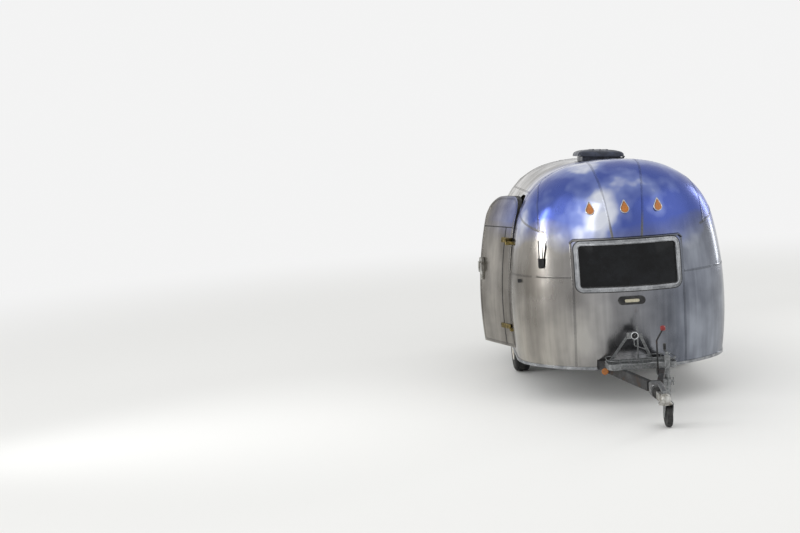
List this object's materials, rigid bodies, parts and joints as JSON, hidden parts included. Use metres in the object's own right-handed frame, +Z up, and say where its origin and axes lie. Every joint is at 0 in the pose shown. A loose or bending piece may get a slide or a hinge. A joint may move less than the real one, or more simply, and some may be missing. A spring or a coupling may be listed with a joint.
{
  "type": "travel caravan",
  "caption": "Single-axle touring caravan with a rounded riveted aluminium shell, side door, dark windows, roof vent, drawbar with ball coupling and jockey wheel.",
  "frame": {"origin": "centre of the ball socket in the drawbar's coupling, 0.40 m above the ground", "axes": "+Z up, -Y is the way it is towed, +X is its street side, so the door is on -X"},
  "size_m": [2.4968, 5.575, 2.5375],
  "materials": {
    "shell_aluminium": "polished, weathered",
    "trim_aluminium": "extruded, bright",
    "window_glass": "dark glazing",
    "amber_plastic": "amber lens",
    "red_plastic": "red lens",
    "pale_lens": "frosted lens",
    "dark_casting": "dark painted housing",
    "black_steel": "chassis paint",
    "galvanised_steel": "galvanised",
    "coupler_steel": "bright plated",
    "plywood": "plywood floor",
    "tyre_rubber": "road tyre",
    "wheel_steel": "painted steel wheel",
    "vent_plastic": "dark blue-black moulded lid",
    "plate_white": "blank plate",
    "knob_red": "dark red knob",
    "cast_zinc": "die-cast body",
    "solid_rubber": "moulded rubber",
    "brass_fitting": "dull brass"
  },
  "bodies": {
    "caravan": {"front_dome": "shell_aluminium", "front_panel": "shell_aluminium", "front_kerb_quarter": "shell_aluminium", "front_street_quarter": "shell_aluminium", "rear_dome": "shell_aluminium", "rear_panel": "shell_aluminium", "rear_kerb_quarter": "shell_aluminium", "rear_street_quarter": "shell_aluminium", "roof": "shell_aluminium", "kerb_wall": "shell_aluminium", "street_wall": "shell_aluminium", "end_window_frames": "trim_aluminium", "end_window_glass": "window_glass", "side_window_frames": "trim_aluminium", "side_window_glass": "window_glass", "hinge_bodies": "brass_fitting", "door_catch": "dark_casting", "corner_bracket": "dark_casting", "front_marker_lamps": "amber_plastic", "rear_marker_lamps": "red_plastic", "porch_lamp": "dark_casting", "porch_lens": "pale_lens", "tail_lamps": "red_plastic", "number_plate": "plate_white", "rub_rail": "trim_aluminium", "wheel_wells": "galvanised_steel", "floor": "plywood", "chassis": "black_steel", "drawbar": "black_steel", "coupler": "coupler_steel", "coupling_gaiter": "solid_rubber", "coupling_housing": "cast_zinc", "coupler_latch": "galvanised_steel", "handbrake_lever": "black_steel", "brake_knob": "knob_red", "gas_tray": "galvanised_steel", "hold_down": "galvanised_steel", "regulator": "cast_zinc", "gas_pigtail": "galvanised_steel", "jockey_clamp": "galvanised_steel", "jockey_crank": "galvanised_steel", "axle": "black_steel", "rear_bumper": "galvanised_steel", "vent_base": "vent_plastic", "reflector": "amber_plastic", "belly_pan": "shell_aluminium"},
    "door": {"door_panel": "shell_aluminium", "door_handle": "coupler_steel", "hinge_leaves": "brass_fitting"},
    "vent_lid": {"vent_lid": "vent_plastic"},
    "kerb_wheel": {"kerb_rim": "wheel_steel", "kerb_tyre": "tyre_rubber"},
    "street_wheel": {"street_rim": "wheel_steel", "street_tyre": "tyre_rubber"},
    "jockey_leg": {"jockey_leg": "galvanised_steel"},
    "jockey_fork": {"jockey_fork": "galvanised_steel"},
    "jockey_wheel": {"jockey_wheel": "solid_rubber"}
  },
  "joints": [
    {"name": "kerb_wheel_spin", "type": "hinge", "parent": "caravan", "child": "kerb_wheel", "pos_m": [-0.93, 3.54, -0.07], "axis": [1, 0, 0], "continuous": true},
    {"name": "street_wheel_spin", "type": "hinge", "parent": "caravan", "child": "street_wheel", "pos_m": [0.93, 3.54, -0.07], "axis": [1, 0, 0], "continuous": true},
    {"name": "door_hinge", "type": "hinge", "parent": "caravan", "child": "door", "pos_m": [-1.114, 2.39, 0.76], "axis": [0, 0, 1], "range_deg": [-26, 139]},
    {"name": "vent_lid_hinge", "type": "hinge", "parent": "caravan", "child": "vent_lid", "pos_m": [0.264, 3.08, 2.026], "axis": [0, 1, 0], "range_deg": [-4, 53]},
    {"name": "jockey_slide", "type": "slide", "parent": "caravan", "child": "jockey_leg", "axis": [0, 0, 1], "range_m": [-0.08, 0.085]},
    {"name": "jockey_swivel", "type": "hinge", "parent": "jockey_leg", "child": "jockey_fork", "pos_m": [0.1501, 0.58, -0.166], "axis": [0, 0, 1], "continuous": true},
    {"name": "jockey_wheel_spin", "type": "hinge", "parent": "jockey_fork", "child": "jockey_wheel", "pos_m": [0.1501, 0.625, -0.295], "axis": [1, 0, 0], "continuous": true}
  ]
}
